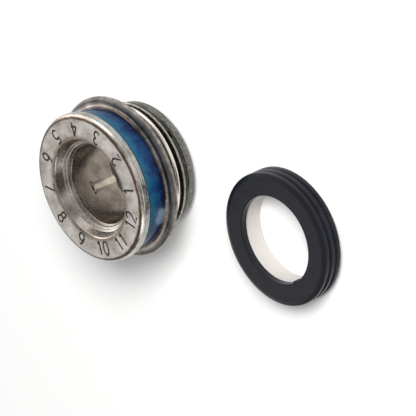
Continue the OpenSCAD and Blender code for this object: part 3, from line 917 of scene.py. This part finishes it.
bellows = dress(build_bellows(), rubber, None, "black_rubber", "bellows")
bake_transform(bellows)


# Clamp, spring cup, drive ring and carbon ring
CLAMP_LEG_R = 11.4


def build_clamp():
    inner_r = CLAMP_LEG_R - SHEET
    path = [(inner_r, CLAMP_FOOT), (CLAMP_LEG_R, CLAMP_FOOT), (CLAMP_LEG_R, CLAMP_BOTTOM),
            (CLAMP_R, CLAMP_BOTTOM), (CLAMP_R, CLAMP_TOP), (inner_r, CLAMP_TOP)]
    return turned("clamp_ring", HEAD, supported([Vector(p) for p in path]), even_angles(120))


dress(build_clamp(), steel, "root", "stainless_sheet", "bellows_clamp")


SLOT_ANGLE = math.radians(52)
SLOT_W, SLOT_H, SLOT_FOOT, SLOT_DEPTH = 1.3, 0.6, 0.3, 0.5
PLATE_RIM = 0.4
CUP_SHEET = 0.58


def build_cup():
    """Skirt and plate of the spring cup, with the slot as a pressed pocket in the skirt."""
    skirt_r = PLATE_R - PLATE_RIM
    bore = skirt_r - CUP_SHEET
    foot = DRIVE_TOP
    low, high = foot + SLOT_FOOT, foot + SLOT_FOOT + SLOT_H
    path = [
        (bore, foot), (skirt_r - 0.2, foot), (skirt_r - 0.2, foot + 0.12), (skirt_r, foot + 0.16),
        (skirt_r, low - 0.04), (skirt_r, low), (skirt_r, low + 0.04),
        (skirt_r, high - 0.04), (skirt_r, high), (skirt_r, high + 0.04),
        (skirt_r, CUP_TOP - 0.52), (skirt_r + 0.03, CUP_TOP - 0.48),
        (PLATE_R - 0.06, CUP_TOP - 0.46), (PLATE_R, CUP_TOP - 0.4),
        (PLATE_R, CUP_TOP - 0.08), (PLATE_R - 0.08, CUP_TOP), (bore, CUP_TOP),
    ]

    def slotted(r, z, angle):
        across = abs(math.sin(angle - SLOT_ANGLE)) * skirt_r
        beside = math.cos(angle - SLOT_ANGLE) <= 0 or across >= SLOT_W / 2
        if beside or r <= skirt_r - 0.01 or not low + 0.01 < z < high - 0.01:
            return r, z
        return r - SLOT_DEPTH, z

    angles = dense_angles([SLOT_ANGLE], 6, 0.35, 2.0)
    return turned("spring_cup_shell", HEAD, supported([Vector(p) for p in path]), angles, slotted)


dress(build_cup(), dull_steel, "nose", "dull_steel", "spring_cup")


LIP_GAP = 0.22
LIP_LEAN = 0.384
FLAT_COUNT = 4
FLAT_ANGLE = -11
FLAT_DEPTH = 0.3


def build_drive():
    path = [
        (NOSE_R + LIP_GAP + LIP_LEAN, LIP_H, 0),
        (DRIVE_R, 1.55, 1.2),
        (DRIVE_R, DRIVE_TOP, 0),
    ]
    section = supported(smooth(path) + smooth(moved(path, SHEET))[::-1])
    flats = [math.radians(FLAT_ANGLE + 360 / FLAT_COUNT * i) for i in range(FLAT_COUNT)]

    def flattened(r, z, angle):
        nearest = min(abs((angle - f + math.pi) % (2 * math.pi) - math.pi) for f in flats)
        if r < DRIVE_R - 0.45 or nearest > 0.6:
            return r, z
        return soft_min(r, (DRIVE_R - FLAT_DEPTH) / math.cos(nearest), 0.04), z

    piece = turned("drive_ring_shell", HEAD, section, even_angles(240), flattened)
    # The flats press the open end's two outer corners together, so these are welded into one
    shell = bmesh.new()
    shell.from_mesh(piece.data)
    bmesh.ops.remove_doubles(shell, verts=shell.verts[:], dist=0.0001 * MM)
    shell.to_mesh(piece.data)
    shell.free()
    piece.data.set_sharp_from_angle(angle=math.radians(SHARP_DEG))
    return piece


dress(build_drive(), dull_steel, "nose", "dull_steel", "drive_ring")
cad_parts["carbon_ring"].data.materials.clear()
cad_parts["carbon_ring"].data.materials.append(carbon)


# Seat: ribbed rubber cup and ceramic ring
HOLE_R = 8.15
RIB_COUNT = 3
RIB_PITCH, RIB_CREST, RIB_H = 1.4, 0.7, 0.5
GATE_ANGLE, GATE_HALF, GATE_STUB = math.radians(-51), 0.06, 0.3
CERAMIC_BORE_R = 8.4
CERAMIC_R, CERAMIC_TOP = SEAT_R - 1.3, SEAT_H - 1.3
CHAMFER = 0.2


def build_seat_cup():
    pocket_r = SEAT_R - 1.28
    path = [(HOLE_R, CERAMIC_TOP, 0), (HOLE_R, SEAT_H, 0.2), (SEAT_R - 0.85, SEAT_H, 0.8)]
    for i in range(RIB_COUNT):
        z = SEAT_H - RIB_PITCH * (i + 0.5)
        path += [(SEAT_R, z + RIB_CREST / 2, 0.22), (SEAT_R, z - RIB_CREST / 2, 0.22)]
        if i < RIB_COUNT - 1:
            path.append((SEAT_R - RIB_H, z - RIB_PITCH / 2, 0.15))
    path += [(SEAT_R - RIB_H, RUBBER_FOOT, 0), (pocket_r, RUBBER_FOOT, 0)]
    section = supported(smooth(path) + [Vector((pocket_r, CERAMIC_TOP))])

    def trimmed(r, z, angle):
        """A stub of the mould's gate stands into the hole."""
        off = (angle - GATE_ANGLE + math.pi) % (2 * math.pi) - math.pi
        if r > HOLE_R + 0.25 or abs(off) > GATE_HALF:
            return r, z
        return r - GATE_STUB * math.cos(math.pi / 2 * off / GATE_HALF) ** 0.5, z

    angles = dense_angles([GATE_ANGLE], 5, 0.6, 1.8)
    return turned("seat_rubber", SEAT, section, angles, trimmed)


dress(build_seat_cup(), rubber, "root", "black_rubber", "seat_cup")


def build_ceramic():
    bore, outer, top, c = CERAMIC_BORE_R, CERAMIC_R, CERAMIC_TOP, CHAMFER
    path = [(bore, c), (bore + c, 0), (outer - c, 0), (outer, c),
            (outer, top - c), (outer - c, top), (bore + c, top), (bore, top - c)]
    return turned("ceramic_seat", SEAT, supported([Vector(p) for p in path]), even_angles(180))


dress(build_ceramic(), alumina, "root", "white_ceramic", "ceramic_ring")


# Camera at the photograph's angle: its axes in the frame, and the face's centre as it sees it
LENS = 259.6
CAMERA_UP = Vector((-0.355, 0.877, -0.3245))
CAMERA_BACK = Vector((0.624, 0.4805, 0.6167))
FACE_RIGHT, FACE_UP, FACE_AWAY = -21.346, 3.365, 536.511


def build_camera():
    data = bpy.data.cameras.new("camera")
    data.sensor_width = 36
    data.lens = LENS
    data.clip_start = 0.01
    data.clip_end = 10
    back = CAMERA_BACK.normalized()
    right = CAMERA_UP.cross(back).normalized()
    up = back.cross(right)
    face = Vector((HEAD_X, 0, FACE_Z))
    place = face - right * FACE_RIGHT - up * FACE_UP + back * FACE_AWAY
    camera = bpy.data.objects.new("camera", data)
    bpy.context.scene.collection.objects.link(camera)
    turn = Matrix((right, up, back)).transposed().to_4x4()
    camera.matrix_world = Matrix.Translation(place * MM) @ turn
    bpy.context.scene.camera = camera


build_camera()


# White floor, one soft lamp and a plain studio round them. The floor is lifted to white for the
# camera, which leaves the core of the shadow, and shows plain white in the metals.
FLOOR_LIFT = 0.14
FLOOR_MIRRORED = 1.0
FLOOR_REACH = 1.5


def build_floor():
    sides = ((-1, -1), (1, -1), (1, 1), (-1, 1))
    corners = [(x * FLOOR_REACH, y * FLOOR_REACH, 0) for x, y in sides]
    mesh = bpy.data.meshes.new("floor")
    mesh.from_pydata(corners, [], [(0, 1, 2, 3)])
    floor = bpy.data.objects.new("floor", mesh)
    bpy.context.scene.collection.objects.link(floor)
    m = new_material("white_sweep_paper")
    rays = add(m, "ShaderNodeLightPath")
    lift = add(m, "ShaderNodeMath", {"operation": "MULTIPLY", 1: FLOOR_LIFT},
               {0: rays.outputs["Is Camera Ray"]})
    paper = add(m, "ShaderNodeBsdfDiffuse", {"Color": linear("#f4f4f3")})
    glow = add(m, "ShaderNodeEmission", links={"Strength": lift.outputs[0]})
    lit = add(m, "ShaderNodeAddShader", links={0: paper.outputs[0], 1: glow.outputs[0]})
    mirrored = add(m, "ShaderNodeMath", {"operation": "MAXIMUM"},
                   {0: rays.outputs["Is Glossy Ray"], 1: rays.outputs["Is Transmission Ray"]})
    white = add(m, "ShaderNodeEmission", {"Strength": FLOOR_MIRRORED})
    finish_material(m, add(m, "ShaderNodeMixShader", links={
        0: mirrored.outputs[0], 1: lit.outputs[0], 2: white.outputs[0]}))
    floor.data.materials.append(m)


build_floor()


def soft_lamp(name, place, size, power, colour="#ffffff"):
    data = bpy.data.lights.new(name, "AREA")
    data.shape = "RECTANGLE"
    data.size, data.size_y = size
    data.energy = power
    data.color = linear(colour)[:3]
    lamp = bpy.data.objects.new(name, data)
    bpy.context.scene.collection.objects.link(lamp)
    lamp.location = place
    lamp.rotation_euler = Vector(place).to_track_quat("Z", "Y").to_euler()
    lamp.visible_glossy = False


soft_lamp("key_softbox", (0.60, 0.80, 0.80), (0.45, 0.45), 22.0)


# The studio round the parts: a plain level, brighter in the metals, which also show zones of soft
# light and dark, each a (direction, degrees from its middle to its edge, amount)
ROOM_LEVEL = 0.22
MIRRORED_LEVEL = 0.2
ROOM_ZONES = [
    ((-0.94, 0.29, 0.20), 34, 2.6),
    ((-0.35, 0.92, 0.18), 30, 2.0),
    ((0.95, -0.12, 0.10), 48, -0.34),
    ((0.30, -0.85, 0.35), 42, -0.34),
    ((0.40, 0.00, 0.92), 36, 0.2),
    ((-0.55, -0.46, 0.70), 46, 0.42),
    ((0.70, 0.52, 0.48), 26, 0.75),
    ((0.66, -0.64, 0.38), 22, 2.6),
]


def build_world():
    world = bpy.data.worlds.new("studio")
    bpy.context.scene.world = world
    world.use_nodes = True
    world.node_tree.nodes.clear()
    sky = add(world, "ShaderNodeTexCoord").outputs["Generated"]
    rays = add(world, "ShaderNodeLightPath")
    level = None
    for towards, reach, amount in ROOM_ZONES:
        near = add(world, "ShaderNodeVectorMath", {"operation": "DOT_PRODUCT",
                                                   1: unit(Vector(towards))}, {0: sky})
        zone = add(world, "ShaderNodeMapRange",
                   {"interpolation_type": "SMOOTHSTEP", "From Min": math.cos(math.radians(reach)),
                    "From Max": 1.0, "To Min": 0.0, "To Max": amount},
                   {"Value": near.outputs["Value"]})
        level = add(world, "ShaderNodeMath", {"operation": "ADD", 1: MIRRORED_LEVEL},
                    {0: zone.outputs["Result"], **({1: level.outputs[0]} if level else {})})
    strength = add(world, "ShaderNodeMath", {"operation": "MULTIPLY_ADD", 2: ROOM_LEVEL},
                   {0: level.outputs[0], 1: rays.outputs["Is Glossy Ray"]})
    sky_light = add(world, "ShaderNodeBackground", {"Color": linear("#ffffff")},
                    {"Strength": strength.outputs[0]})
    output = add(world, "ShaderNodeOutputWorld")
    world.node_tree.links.new(sky_light.outputs[0], output.inputs["Surface"])


build_world()
bpy.context.scene.view_settings.view_transform = "Standard"
